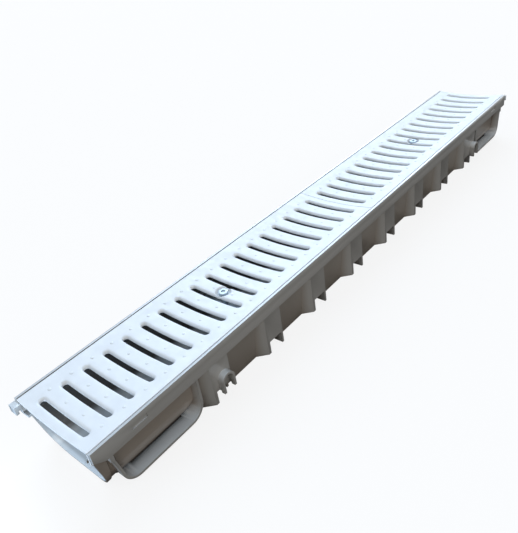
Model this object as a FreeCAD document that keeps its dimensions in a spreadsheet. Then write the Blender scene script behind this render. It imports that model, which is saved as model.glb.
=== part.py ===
import FreeCAD, Part
import math
import operator
import os
from types import SimpleNamespace

import Sketcher

# Drainage channel: a moulded plastic trough with two slotted steel grates, each held by a screw and a clamp bar.
# Origin: underside of the trough, middle of its length and width. X across, Y along, Z up, millimetres.

DRIVING_SIZES = {
    # trough and rim
    "channel_length": 1000,
    "channel_width": 130,
    "channel_height": 75,
    "trough_width": 104,
    "trough_corner": 27,
    "plastic_wall": 3,
    "rim_wall": 3,
    "seat_depth": 17,
    "ledge_thickness": 3,
    # folded side skirt
    "lug_start": 151.2,
    "lug_pitch": 95,
    "lug_length": 29.5,
    "lug_inset": 1.7,
    "fold_depth": 11.6,
    "recess_depth": 8,
    "lug_cut": 16.5,
    "lug_tail": 16.5,
    # side strap
    "strap_start": 16,
    "strap_length": 118,
    "strap_lean": 6,
    "strap_corner": 20,
    "strap_thickness": 3,
    "strap_lift": 5,
    "strap_inset": 1,
    "strap_groove_width": 2.6,
    "strap_groove_depth": 2,
    "strap_stop_height": 7,
    "strap_stop_length": 4.5,
    # arch brackets
    "arch_width": 19.5,
    "arch_top": 37.5,
    "arch_foot": 13.5,
    "arch_stroke": 3,
    "arch_reach": 8,
    "arch_past_apex": 18.2,
    "arch_past_web": 5.8,
    # ends of the trough
    "end_slope_top": 3.5,
    "end_slope_foot": 14,
    "collar_lip": 3,
    "collar_groove": 9,
    "collar_depth": 1.2,
    "band_chamfer_length": 13,
    "band_chamfer_height": 7.6,
    "peg_length": 8,
    "peg_width": 11,
    "peg_height": 6,
    "peg_hook": 3.5,
    # marks in the rim band
    "mark_place": 47,
    "mark_length": 19,
    "mark_height": 5,
    "mark_lift": 63,
    "mark_depth": 1.2,
    # grates
    "grate_side_gap": 1.2,
    "grate_joint_gap": 1,
    "grate_sheet": 2,
    "grate_sag": 4.5,
    "slot_pitch": 27.6,
    "slot_margin": 13,
    "slot_length": 81,
    "slot_width": 8.5,
    "slot_lip": 1.4,
    "slot_lip_depth": 4,
    "cup_radius": 10.6,
    "cup_depth": 6.5,
    "cup_slope": 2,
    # screw, washer, clamp bar, nut and keepers
    "screw_diameter": 6,
    "screw_head_diameter": 12,
    "screw_head_height": 3,
    "screw_socket": 5,
    "screw_socket_depth": 1.6,
    "screw_end": 3,
    "screw_clearance": 0.3,
    "thread_clearance": 0.05,
    "washer_diameter": 12,
    "washer_thickness": 1.6,
    "bar_length": 94,
    "bar_width": 20,
    "bar_thickness": 4,
    "bar_play": 0.3,
    "nut_flats": 10,
    "nut_height": 5,
    "keeper_drop": 9,
    "keeper_reach": 6,
    "keeper_thickness": 4,
    "keeper_length": 36,
}

OPERATORS = {"+": operator.add, "-": operator.sub, "*": operator.mul, "/": operator.truediv}


class Size:
    """A size that knows its value and the sheet expression that gives it."""

    def __init__(self, text, value):
        self.text = text
        self.value = value

    def joined(self, sign, other, swapped=False):
        other = as_size(other)
        left, right = (other, self) if swapped else (self, other)
        return Size(f"({left.text} {sign} {right.text})", OPERATORS[sign](left.value, right.value))

    def __add__(self, other):
        return self.joined("+", other)

    def __radd__(self, other):
        return self.joined("+", other, swapped=True)

    def __sub__(self, other):
        return self.joined("-", other)

    def __rsub__(self, other):
        return self.joined("-", other, swapped=True)

    def __mul__(self, other):
        return self.joined("*", other)

    def __rmul__(self, other):
        return self.joined("*", other, swapped=True)

    def __truediv__(self, other):
        return self.joined("/", other)

    def __neg__(self):
        return self.joined("-", 0, swapped=True)


def as_size(number):
    """Turn a plain number into a Size, and leave a Size as it is."""
    return number if isinstance(number, Size) else Size(repr(number), number)


def root(size):
    return Size(f"sqrt({size.text})", math.sqrt(size.value))


def whole(size):
    """Round down to a whole number."""
    return Size(f"floor({size.text})", math.floor(size.value))


def nearest_whole(size):
    return whole(size + 0.5)


def make_sheet(doc):
    """Write every driving size in the spreadsheet and return them as named sizes."""
    sheet = doc.addObject("Spreadsheet::Sheet", "Sizes")
    for row, (name, value) in enumerate(DRIVING_SIZES.items(), start=1):
        sheet.set(f"A{row}", name)
        sheet.set(f"B{row}", str(value))
        sheet.setAlias(f"B{row}", name)
    doc.recompute()
    return SimpleNamespace(**{name: Size(f"Sizes.{name}", value) for name, value in DRIVING_SIZES.items()})


def add_worked_out_sizes(s):
    """Work out the places that several pieces share."""
    s.rim_half = s.channel_width / 2
    s.trough_half = s.trough_width / 2
    s.floor_half = s.trough_half - s.trough_corner
    s.bore_half = s.trough_half - s.plastic_wall
    s.seat_half = s.rim_half - s.rim_wall
    s.seat_level = s.channel_height - s.seat_depth
    s.band_foot = s.seat_level - s.ledge_thickness
    s.half_length = s.channel_length / 2
    s.overlap = s.plastic_wall / 3
    # skirt
    s.lug_face = s.rim_half - s.lug_inset
    s.lug_foot = s.lug_face - s.fold_depth
    s.diagonal_wall = s.plastic_wall * root(as_size(2))
    s.first_apex = s.lug_start - s.half_length
    s.strap_end = s.strap_start + s.strap_length
    lug_room = s.channel_length - s.strap_end - s.lug_tail - s.lug_length - s.lug_start
    s.lug_count = whole(lug_room / s.lug_pitch + 1)
    s.last_web = s.first_apex + (s.lug_count - 1) * s.lug_pitch + s.lug_length
    # strap
    s.strap_face = s.rim_half - s.strap_inset
    strap_drop = s.trough_corner - s.strap_lift - s.strap_thickness
    s.strap_root = s.floor_half + root(s.trough_corner * s.trough_corner - strap_drop * strap_drop)
    # grate
    s.grate_half = s.seat_half - s.grate_side_gap
    s.grate_length = (s.channel_length - s.grate_joint_gap) / 2
    s.grate_middle = (s.grate_length + s.grate_joint_gap) / 2
    s.slot_pairs = nearest_whole((s.grate_length / 2 - s.slot_margin) / s.slot_pitch)
    s.slot_count = 2 * s.slot_pairs
    s.dish_radius = (s.grate_half * s.grate_half + s.grate_sag * s.grate_sag) / (2 * s.grate_sag)
    s.dish_low = s.channel_height - s.grate_sag
    s.cup_top = s.dish_low
    s.cup_floor_top = s.cup_top - s.cup_depth + s.grate_sheet
    # clamp under the grate
    s.screw_radius = s.screw_diameter / 2
    s.screw_hole = s.screw_radius + s.screw_clearance
    s.thread_bore = s.screw_radius + s.thread_clearance
    s.head_level = s.cup_floor_top + s.washer_thickness
    s.keeper_foot = s.seat_level - s.keeper_drop - s.keeper_thickness
    s.bar_top = s.keeper_foot - s.bar_play
    s.bar_foot = s.bar_top - s.bar_thickness
    s.nut_foot = s.bar_foot - s.nut_height
    s.screw_tip = s.nut_foot - s.screw_end
    return s


def bind(thing, name, size):
    """Tie a property to its sheet expression."""
    thing.setExpression(name, as_size(size).text)


def sketch_on(body, name, plane, offset=None):
    """Start a sketch on one of the body's own planes, moved along its normal by offset."""
    sketch = body.newObject("Sketcher::SketchObject", name)
    support = next(feature for feature in body.Origin.OriginFeatures if feature.Role == plane)
    sketch.AttachmentSupport = [(support, "")]
    sketch.MapMode = "FlatFace"
    if offset is not None:
        bind(sketch, "AttachmentOffset.Base.z", offset)
    return sketch


def hold_point(sketch, curve, end, place):
    """Fix one end of a sketch curve at a pair of sizes measured from the sketch's origin."""
    kinds = (("DistanceX", -2), ("DistanceY", -1))
    for size, (kind, axis) in zip(place, kinds):
        size = as_size(size)
        if size.value == 0:
            sketch.addConstraint(Sketcher.Constraint("PointOnObject", curve, end, axis))
        elif size.value > 0:
            index = sketch.addConstraint(Sketcher.Constraint(kind, -1, 1, curve, end, size.value))
            bind(sketch, f"Constraints[{index}]", size)
        else:
            index = sketch.addConstraint(Sketcher.Constraint(kind, curve, end, -1, 1, -size.value))
            bind(sketch, f"Constraints[{index}]", -size)


def arc_between(start, end, radius):
    """Arc from start to end; a positive radius bends it left of the way it goes, a negative one right."""
    span = end - start
    middle = (start + end) / 2
    rise = math.sqrt(max(radius * radius - span.Length ** 2 / 4, 0))
    side = 1 if radius > 0 else -1
    across = FreeCAD.Vector(-span.y, span.x, 0).normalize() * side
    centre = middle + across * rise
    first, last = (start, end) if radius > 0 else (end, start)
    angles = [math.atan2(point.y - centre.y, point.x - centre.x) for point in (first, last)]
    circle = Part.Circle(centre, FreeCAD.Vector(0, 0, 1), abs(radius))
    return Part.ArcOfCircle(circle, angles[0], angles[1])


def draw_outline(sketch, places):
    """Draw a closed outline. Each entry is (x, y) or (x, y, radius of the arc that leads to it)."""
    points = [FreeCAD.Vector(as_size(place[0]).value, as_size(place[1]).value, 0) for place in places]
    curves = []
    for number, place in enumerate(places):
        start, end = points[number - 1], points[number]
        radius = as_size(place[2]) if len(place) > 2 else None
        shape = arc_between(start, end, radius.value) if radius else Part.LineSegment(start, end)
        curve = sketch.addGeometry(shape, False)
        turned = radius is not None and radius.value < 0
        curves.append((curve, 2 if turned else 1, 1 if turned else 2))
        if radius is not None:
            size = -radius if turned else radius
            index = sketch.addConstraint(Sketcher.Constraint("Radius", curve, size.value))
            bind(sketch, f"Constraints[{index}]", size)
    for number, place in enumerate(places):
        curve, _, end = curves[number]
        following, start, _ = curves[(number + 1) % len(places)]
        sketch.addConstraint(Sketcher.Constraint("Coincident", curve, end, following, start))
        hold_point(sketch, curve, end, place[:2])


def draw_circle(sketch, radius, across=0, along=0):
    """Draw a circle of the given radius round a point of the sketch."""
    middle = FreeCAD.Vector(as_size(across).value, as_size(along).value, 0)
    curve = sketch.addGeometry(Part.Circle(middle, FreeCAD.Vector(0, 0, 1), radius.value), False)
    index = sketch.addConstraint(Sketcher.Constraint("Radius", curve, radius.value))
    bind(sketch, f"Constraints[{index}]", radius)
    hold_point(sketch, curve, 3, (across, along))


def rectangle(left, right, low, high):
    return [(right, low), (right, high), (left, high), (left, low)]


def swept(body, kind, name, sketch, length=None, symmetric=False, backwards=False):
    """Pad or pocket a sketch by a length, or all the way through both ways where none is given."""
    feature = body.newObject(f"PartDesign::{kind}", name)
    feature.Profile = sketch
    if length is None:
        feature.Type = "ThroughAll"
    else:
        bind(feature, "Length", length)
    feature.SideType = "Symmetric" if symmetric or length is None else "One side"
    feature.Reversed = backwards
    feature.Refine = False
    body.Tip = feature
    return feature


def axis_of(body, role):
    """One of the body's own axes or planes, in the form that a pattern takes."""
    return next(feature for feature in body.Origin.OriginFeatures if feature.Role == role), [""]


def set_half_turn(turn, body):
    """Turn a pattern's copy half round about the upright axis."""
    turn.Axis = axis_of(body, "Z_Axis")
    turn.Angle = 360
    turn.Occurrences = 2


def half_turn_copy(body, name, features):
    """Repeat features half round about the upright axis, on the channel's other side."""
    turn = body.newObject("PartDesign::PolarPattern", name)
    turn.Originals = features
    set_half_turn(turn, body)
    turn.Refine = False
    body.Tip = turn


def rows_on_both_sides(body, name, features, length, count):
    """Repeat features in a row along the channel, and the whole row on the other side."""
    rows = body.newObject("PartDesign::MultiTransform", name)
    rows.Originals = features
    row = body.newObject("PartDesign::LinearPattern", f"{name}Row")
    row.Direction = axis_of(body, "Y_Axis")
    bind(row, "Length", length)
    bind(row, "Occurrences", count)
    turn = body.newObject("PartDesign::PolarPattern", f"{name}Turn")
    set_half_turn(turn, body)
    rows.Transformations = [row, turn]
    rows.Refine = False
    body.Tip = rows


def prism(body, kind, name, plane, outline, start, length, backwards=False):
    """Pad or pocket an outline that starts a given way along the plane's normal."""
    sketch = sketch_on(body, f"{name}Outline", plane, start)
    draw_outline(sketch, outline)
    return swept(body, kind, name, sketch, length, backwards=backwards)


def add_lug_walls(body, s):
    """One hollow lug of the skirt: a slanted near wall, a face and a square far wall, open towards the trough."""
    wall = s.plastic_wall
    near = s.first_apex - s.fold_depth
    far = s.first_apex + s.lug_length
    outline = [
        (s.floor_half, near),
        (s.lug_foot, near),
        (s.lug_face, s.first_apex),
        (s.lug_face, far),
        (s.floor_half, far),
        (s.floor_half, far - wall),
        (s.lug_face - wall, far - wall),
        (s.lug_face - wall, s.first_apex + s.diagonal_wall - wall),
        (s.lug_foot + wall - s.diagonal_wall, near + wall),
        (s.floor_half, near + wall),
    ]
    walls = prism(body, "Pad", "LugWalls", "XY_Plane", outline, 0, s.band_foot)
    cut_outline = rectangle(s.lug_face - 2 * wall, s.lug_face + wall, s.first_apex + s.diagonal_wall, far - wall)
    cut = prism(body, "Pocket", "LugFaceCut", "XY_Plane", cut_outline, 0, s.lug_cut, backwards=True)
    rows_on_both_sides(body, "Lugs", [walls, cut], (s.lug_count - 1) * s.lug_pitch, s.lug_count)


def add_recess_panels(body, s):
    """The panels between the lugs, set back from the lugs' faces and drawn in a little more at the foot."""
    start = s.first_apex + s.lug_length - s.overlap
    next_apex = s.first_apex + s.lug_pitch + s.overlap
    foot = sketch_on(body, "RecessFoot", "XY_Plane", 0)
    draw_outline(foot, rectangle(s.lug_foot - s.plastic_wall, s.lug_foot, start, next_apex - s.fold_depth))
    top = sketch_on(body, "RecessTop", "XY_Plane", s.band_foot)
    face = s.lug_face - s.recess_depth
    draw_outline(top, rectangle(face - s.plastic_wall, face, start, next_apex - s.recess_depth))
    panel = body.newObject("PartDesign::AdditiveLoft", "RecessPanel")
    panel.Profile = foot
    panel.Sections = [top]
    panel.Ruled = True
    body.Tip = panel
    rows_on_both_sides(body, "Recesses", [panel], (s.lug_count - 2) * s.lug_pitch, s.lug_count - 1)


def cut_web_behind_arch(body, s):
    """Shorten the far wall of the first lug, which stands behind an arch, to the arch's foot."""
    far = s.first_apex + s.lug_length
    outline = rectangle(s.lug_foot + s.plastic_wall, s.lug_face + s.plastic_wall, far - s.plastic_wall - s.overlap,
                        far + s.overlap)
    return [prism(body, "Pocket", "ArchClearance", "XY_Plane", outline, 0, s.arch_foot, backwards=True)]


def add_skirt_tail(body, s):
    """The last lug's face runs on a little past its far wall."""
    outline = rectangle(s.lug_face - s.plastic_wall, s.lug_face, s.last_web - s.overlap, s.last_web + s.lug_tail)
    return [prism(body, "Pad", "SkirtTail", "XY_Plane", outline, s.lug_cut, s.band_foot - s.lug_cut)]


def add_straps(body, s):
    """A flat strap looped below the rim band at each end, for setting in concrete, grooved along the trough."""
    skin = s.strap_thickness
    low = s.strap_lift
    bend = s.strap_corner
    inner_bend = bend - skin
    straps = []
    for end, way in {"Near": 1, "Far": -1}.items():
        outer = way * (s.strap_start - s.half_length)
        inner = way * (s.strap_end - s.half_length)
        lean = way * s.strap_lean
        turn = way * bend
        thick = way * skin
        outline = [
            (outer, s.band_foot),
            (outer + lean, low + bend),
            (outer + lean + turn, low, way * bend),
            (inner - turn, low),
            (inner, low + bend, way * bend),
            (inner, s.band_foot),
            (inner - thick, s.band_foot),
            (inner - thick, low + bend),
            (inner - turn, low + skin, -way * inner_bend),
            (outer + lean + turn, low + skin),
            (outer + lean + thick, low + bend, -way * inner_bend),
            (outer + thick, s.band_foot),
        ]
        reach = s.strap_face - s.floor_half
        straps.append(prism(body, "Pad", f"{end}Strap", "YZ_Plane", outline, s.floor_half, reach))
        floor = low + skin
        groove = rectangle(outer + lean + turn, inner - turn, floor - s.strap_groove_depth, floor + skin)
        straps.append(prism(body, "Pocket", f"{end}StrapGroove", "YZ_Plane", groove, s.strap_root,
                            s.strap_groove_width, backwards=True))
        stop_end = outer + way * s.strap_stop_length
        stop = rectangle(outer, stop_end, s.band_foot - s.strap_stop_height, s.band_foot)
        reach = s.rim_half - s.trough_half
        straps.append(prism(body, "Pad", f"{end}StrapStop", "YZ_Plane", stop, s.trough_half, reach))
    return straps


def add_arches(body, s):
    """Two small upside-down U brackets that stand out of the skirt's face."""
    start = s.lug_face - s.plastic_wall
    reach = s.plastic_wall + s.arch_reach
    stroke = s.arch_stroke
    bend = s.arch_width / 2
    places = {"NearArch": s.first_apex + s.arch_past_apex, "FarArch": s.last_web + s.arch_past_web}
    arches = []
    for name, middle in places.items():
        outline = [
            (middle + bend, s.arch_foot),
            (middle + bend, s.arch_top - bend),
            (middle, s.arch_top, bend),
            (middle - bend, s.arch_top - bend, bend),
            (middle - bend, s.arch_foot),
            (middle - bend + stroke, s.arch_foot),
            (middle - bend + stroke, s.arch_top - bend),
            (middle, s.arch_top - stroke, -(bend - stroke)),
            (middle + bend - stroke, s.arch_top - bend, -(bend - stroke)),
            (middle + bend - stroke, s.arch_foot),
        ]
        arches.append(prism(body, "Pad", name, "YZ_Plane", outline, start, reach))
    return arches


def add_section(body, s):
    """The solid outer section of trough, ledges and rim bands along the whole length."""
    sketch = sketch_on(body, "OuterSection", "XZ_Plane")
    draw_outline(sketch, [
        (s.floor_half, 0),
        (s.trough_half, s.trough_corner, s.trough_corner),
        (s.trough_half, s.band_foot),
        (s.rim_half, s.band_foot),
        (s.rim_half, s.channel_height),
        (-s.rim_half, s.channel_height),
        (-s.rim_half, s.band_foot),
        (-s.trough_half, s.band_foot),
        (-s.trough_half, s.trough_corner),
        (-s.floor_half, 0, s.trough_corner),
    ])
    swept(body, "Pad", "Section", sketch, s.channel_length, symmetric=True)


def cut_near_end(body, s):
    """Set the trough back below the ledges at the near end, and bevel the rim band's corner on this side."""
    end = -s.half_length
    clear = s.plastic_wall
    slope = [
        (end - clear, -clear),
        (end + s.end_slope_foot, -clear),
        (end + s.end_slope_foot, 0),
        (end + s.end_slope_top, s.band_foot),
        (end - clear, s.band_foot),
    ]
    slope_cut = prism(body, "Pocket", "EndSlope", "YZ_Plane", slope, -s.rim_half, s.channel_width, backwards=True)
    chamfer = [
        (end - clear, s.band_foot - clear),
        (end + s.band_chamfer_length, s.band_foot - clear),
        (end + s.band_chamfer_length, s.band_foot),
        (end, s.band_foot + s.band_chamfer_height),
        (end - clear, s.band_foot + s.band_chamfer_height),
    ]
    width = s.rim_half + clear - s.trough_half
    chamfer_cut = prism(body, "Pocket", "BandChamfer", "YZ_Plane", chamfer, s.trough_half, width, backwards=True)
    return [slope_cut, chamfer_cut]


def cut_collar_groove(body, s):
    """A shallow groove round the trough at the near end, behind a narrow lip."""
    inner = s.trough_half - s.collar_depth
    outer = s.trough_half + s.collar_depth
    outer_bend = s.trough_corner + s.collar_depth
    inner_bend = s.trough_corner - s.collar_depth
    outline = [
        (-outer, s.band_foot),
        (-outer, s.trough_corner),
        (-s.floor_half, -s.collar_depth, outer_bend),
        (s.floor_half, -s.collar_depth),
        (outer, s.trough_corner, outer_bend),
        (outer, s.band_foot),
        (inner, s.band_foot),
        (inner, s.trough_corner),
        (s.floor_half, s.collar_depth, -inner_bend),
        (-s.floor_half, s.collar_depth),
        (-inner, s.trough_corner, -inner_bend),
        (-inner, s.band_foot),
    ]
    start = s.half_length - s.end_slope_foot - s.collar_lip
    return [prism(body, "Pocket", "CollarGroove", "XZ_Plane", outline, start - s.collar_groove, s.collar_groove,
                  backwards=True)]


def cut_marks(body, s):
    """A shallow oblong mark in the rim band near each end."""
    starts = {"NearMark": s.mark_place - s.half_length, "FarMark": s.half_length - s.mark_place - s.mark_length}
    marks = []
    for name, start in starts.items():
        outline = rectangle(start, start + s.mark_length, s.mark_lift, s.mark_lift + s.mark_height)
        marks.append(prism(body, "Pocket", name, "YZ_Plane", outline, s.rim_half - s.mark_depth, s.rim_wall,
                           backwards=True))
    return marks


def cut_bore(body, s):
    """Hollow out the waterway and the seat that the grates drop into."""
    bend = s.trough_corner - s.plastic_wall
    top = s.channel_height + s.plastic_wall
    sketch = sketch_on(body, "BoreSection", "XZ_Plane")
    draw_outline(sketch, [
        (s.floor_half, s.plastic_wall),
        (s.bore_half, s.trough_corner, bend),
        (s.bore_half, s.seat_level),
        (s.seat_half, s.seat_level),
        (s.seat_half, top),
        (-s.seat_half, top),
        (-s.seat_half, s.seat_level),
        (-s.bore_half, s.seat_level),
        (-s.bore_half, s.trough_corner),
        (-s.floor_half, s.plastic_wall, bend),
    ])
    swept(body, "Pocket", "Bore", sketch, s.channel_length, symmetric=True)


def add_end_peg(body, s):
    """A hooked peg that stands out of the far end on this side and clips into the next channel."""
    inner = s.rim_half - s.peg_width
    low = s.channel_height - s.rim_wall - s.peg_height
    root_end = s.half_length - s.overlap
    outline = [
        (root_end, low),
        (s.half_length + s.peg_length - s.peg_hook, low),
        (s.half_length + s.peg_length - s.peg_hook, low - s.peg_hook),
        (s.half_length + s.peg_length, low - s.peg_hook),
        (s.half_length + s.peg_length, low + s.peg_height),
        (root_end, low + s.peg_height),
    ]
    return [prism(body, "Pad", "EndPeg", "YZ_Plane", outline, inner, s.peg_width)]


def add_keepers(body, s):
    """Shelves inside the trough walls that hold the ends of the clamp bars down."""
    sketch = sketch_on(body, "KeeperOutlines", "XY_Plane", s.keeper_foot)
    for middle in (-s.grate_middle, s.grate_middle):
        low, high = middle - s.keeper_length / 2, middle + s.keeper_length / 2
        draw_outline(sketch, rectangle(s.bore_half - s.keeper_reach, s.bore_half + s.overlap, low, high))
        draw_outline(sketch, rectangle(-s.bore_half - s.overlap, s.keeper_reach - s.bore_half, low, high))
    swept(body, "Pad", "Keepers", sketch, s.keeper_thickness)


def make_channel_body(doc, s):
    body = doc.addObject("PartDesign::Body", "ChannelBody")
    body.Label = "channel_body"
    body.AllowCompound = True
    add_section(body, s)
    half_turn_copy(body, "BothEnds", cut_near_end(body, s) + cut_collar_groove(body, s) + cut_marks(body, s))
    half_turn_copy(body, "BothPegs", add_end_peg(body, s))
    half_turn_copy(body, "BothSides", add_skirt_tail(body, s) + add_straps(body, s) + add_arches(body, s))
    add_lug_walls(body, s)
    add_recess_panels(body, s)
    half_turn_copy(body, "BothClearances", cut_web_behind_arch(body, s))
    cut_bore(body, s)
    add_keepers(body, s)
    body.Tip.Refine = True
    return body


def dish_height(s, across, depth):
    """Height of the dished sheet at a place across the grate, depth below its top face."""
    reach = s.dish_radius + depth
    return s.dish_low + s.dish_radius - root(reach * reach - across * across)


def add_dished_sheet(body, s):
    """The pressed sheet: a shallow dish with a flange turned down along each side."""
    inner = s.grate_half - s.grate_sheet
    under = dish_height(s, inner, s.grate_sheet)
    sketch = sketch_on(body, "SheetSection", "XZ_Plane")
    draw_outline(sketch, [
        (s.grate_half, s.seat_level),
        (s.grate_half, s.channel_height),
        (-s.grate_half, s.channel_height, -s.dish_radius),
        (-s.grate_half, s.seat_level),
        (-inner, s.seat_level),
        (-inner, under),
        (inner, under, s.dish_radius + s.grate_sheet),
        (inner, s.seat_level),
    ])
    swept(body, "Pad", "Sheet", sketch, s.grate_length, symmetric=True)


def slot_outline(s, middle, grow):
    """A long slot with round ends, made larger all round by grow."""
    half = s.slot_width / 2 + grow
    straight = s.slot_length / 2 - s.slot_width / 2
    return [
        (straight, middle - half),
        (straight + half, middle, half),
        (straight, middle + half, half),
        (-straight, middle + half),
        (-straight - half, middle, half),
        (-straight, middle - half, half),
    ]


def slot_row(body, name, feature, s):
    """Repeat a slot feature along the grate."""
    row = body.newObject("PartDesign::LinearPattern", name)
    row.Originals = [feature]
    row.Direction = axis_of(body, "Y_Axis")
    row.Refine = False
    bind(row, "Length", (s.slot_count - 1) * s.slot_pitch)
    bind(row, "Occurrences", s.slot_count)
    body.Tip = row


def add_slots(body, s):
    """Slots in a row, each with a lip drawn down round it."""
    first = -(s.slot_count - 1) * s.slot_pitch / 2
    foot = s.dish_low - s.slot_lip_depth
    rise = s.channel_height + s.grate_sheet - foot
    lip = prism(body, "Pad", "Lip", "XY_Plane", slot_outline(s, first, s.slot_lip), foot, rise)
    slot_row(body, "Lips", lip, s)
    above = sketch_on(body, "AboveDish", "XZ_Plane")
    top = foot + rise + s.grate_sheet
    draw_outline(above, [
        (s.grate_half, top),
        (-s.grate_half, top),
        (-s.grate_half, s.channel_height),
        (s.grate_half, s.channel_height, s.dish_radius),
    ])
    swept(body, "Pocket", "DishFace", above, s.grate_length, symmetric=True)
    slot = prism(body, "Pocket", "Slot", "XY_Plane", slot_outline(s, first, 0), foot, rise, backwards=True)
    slot_row(body, "Slots", slot, s)


def cone(body, kind, name, foot, height, foot_radius, top_radius):
    """Add or remove a cone on the body's upright axis."""
    shape = body.newObject(f"PartDesign::{kind}Cone", name)
    shape.AttachmentSupport = [axis_of(body, "XY_Plane")[0]]
    shape.MapMode = "FlatFace"
    shape.Refine = False
    bind(shape, "AttachmentOffset.Base.z", foot)
    bind(shape, "Height", height)
    bind(shape, "Radius1", foot_radius)
    bind(shape, "Radius2", top_radius)
    body.Tip = shape


def add_cup(body, s):
    """The round cup pressed into the middle of the grate for the screw's head, with the screw's hole."""
    foot = s.cup_floor_top - s.grate_sheet
    cone(body, "Additive", "Cup", foot, s.cup_depth, s.cup_radius - s.cup_slope, s.cup_radius)
    inner = s.cup_radius - s.grate_sheet
    cone(body, "Subtractive", "CupHollow", s.cup_floor_top, s.cup_depth, inner - s.cup_slope, inner)
    sketch = sketch_on(body, "ScrewHoleOutline", "XY_Plane")
    draw_circle(sketch, s.screw_hole)
    swept(body, "Pocket", "ScrewHole", sketch)


def make_grate(doc, s, label, middle):
    body = doc.addObject("PartDesign::Body", label.title().replace("_", ""))
    body.Label = label
    body.AllowCompound = True
    add_dished_sheet(body, s)
    add_slots(body, s)
    add_cup(body, s)
    bind(body, "Placement.Base.y", middle)
    return body


def cylinder(doc, name, radius, foot, height):
    shape = doc.addObject("Part::Cylinder", name)
    bind(shape, "Radius", radius)
    bind(shape, "Height", height)
    bind(shape, "Placement.Base.z", foot)
    return shape


def hexagon(doc, name, flats, foot, height):
    shape = doc.addObject("Part::Prism", name)
    shape.Polygon = 6
    bind(shape, "Circumradius", flats / root(as_size(3)))
    bind(shape, "Height", height)
    bind(shape, "Placement.Base.z", foot)
    return shape


def cut(doc, label, base, tool, middle):
    """Cut one shape out of another, and set the result at its place along the channel."""
    result = doc.addObject("Part::Cut", label.title().replace("_", ""))
    result.Label = label
    result.Base = base
    result.Tool = tool
    bind(result, "Placement.Base.y", middle)
    return result


def make_screw(doc, s, end, middle):
    """A socket head screw, its head on the washer and its tip below the nut."""
    head = cylinder(doc, f"Head{end}", s.screw_head_diameter / 2, s.head_level, s.screw_head_height)
    shank = cylinder(doc, f"Shank{end}", s.screw_radius, s.screw_tip, s.head_level - s.screw_tip)
    blank = doc.addObject("Part::Fuse", f"Blank{end}")
    blank.Base = head
    blank.Tool = shank
    floor = s.head_level + s.screw_head_height - s.screw_socket_depth
    socket = hexagon(doc, f"Socket{end}", s.screw_socket, floor, s.screw_head_height)
    return cut(doc, f"screw_{end}", blank, socket, middle)


def make_washer(doc, s, end, middle):
    disc = cylinder(doc, f"Disc{end}", s.washer_diameter / 2, s.cup_floor_top, s.washer_thickness)
    hole = cylinder(doc, f"DiscHole{end}", s.screw_hole, s.cup_floor_top, s.washer_thickness)
    return cut(doc, f"washer_{end}", disc, hole, middle)


def make_clamp_bar(doc, s, end, middle):
    """A flat steel bar across the trough, its ends under the keepers."""
    bar = doc.addObject("Part::Box", f"Bar{end}")
    bind(bar, "Length", s.bar_length)
    bind(bar, "Width", s.bar_width)
    bind(bar, "Height", s.bar_thickness)
    bind(bar, "Placement.Base.x", -s.bar_length / 2)
    bind(bar, "Placement.Base.y", -s.bar_width / 2)
    bind(bar, "Placement.Base.z", s.bar_foot)
    hole = cylinder(doc, f"BarHole{end}", s.screw_hole, s.bar_foot, s.bar_thickness)
    return cut(doc, f"clamp_bar_{end}", bar, hole, middle)


def make_nut(doc, s, end, middle):
    blank = hexagon(doc, f"NutBlank{end}", s.nut_flats, s.nut_foot, s.nut_height)
    hole = cylinder(doc, f"NutHole{end}", s.thread_bore, s.nut_foot, s.nut_height)
    return cut(doc, f"nut_{end}", blank, hole, middle)


def make_all(doc):
    s = add_worked_out_sizes(make_sheet(doc))
    pieces = [make_channel_body(doc, s)]
    for end, middle in {"near": -s.grate_middle, "far": s.grate_middle}.items():
        pieces.append(make_grate(doc, s, f"grate_{end}", middle))
        for make_piece in (make_screw, make_washer, make_clamp_bar, make_nut):
            pieces.append(make_piece(doc, s, end, middle))
    return pieces


def check(doc, pieces):
    """Stop if an object failed or a piece has no sound shape."""
    for thing in doc.Objects:
        if "Invalid" in thing.State or "Error" in thing.State:
            raise RuntimeError(f"{thing.Name} failed: {thing.State}")
    for piece in pieces:
        if piece.Shape.isNull() or not piece.Shape.isValid():
            raise RuntimeError(f"{piece.Label} has no sound shape")


def main():
    doc = FreeCAD.newDocument("DrainageChannel")
    pieces = make_all(doc)
    doc.recompute()
    check(doc, pieces)
    os.makedirs("parts", exist_ok=True)
    for piece in pieces:
        piece.Shape.exportStep(f"parts/{piece.Label}.step")
        box = piece.Shape.BoundBox
        print(piece.Label, len(piece.Shape.Solids), round(piece.Shape.Volume), box)


main()
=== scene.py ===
import math

import bmesh
import bpy
from bpy.props import FloatProperty, FloatVectorProperty, IntProperty, PointerProperty, StringProperty
from mathutils import Euler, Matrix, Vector


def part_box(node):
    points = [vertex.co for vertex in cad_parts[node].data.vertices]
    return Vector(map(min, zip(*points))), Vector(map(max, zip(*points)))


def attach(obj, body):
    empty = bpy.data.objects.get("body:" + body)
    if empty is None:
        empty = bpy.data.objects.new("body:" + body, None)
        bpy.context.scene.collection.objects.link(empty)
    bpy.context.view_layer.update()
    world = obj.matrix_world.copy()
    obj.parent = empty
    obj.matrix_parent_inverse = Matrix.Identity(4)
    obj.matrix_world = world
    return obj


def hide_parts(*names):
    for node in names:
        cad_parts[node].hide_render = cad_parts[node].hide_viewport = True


bl_info = {
    "name": "Drainage Channel",
    "version": (1, 0, 0),
    "blender": (4, 5, 0),
    "location": "View3D > Sidebar > Drainage Channel",
    "description": "Finishes a moulded drainage channel with slotted galvanised grates",
    "category": "Object",
}

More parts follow.
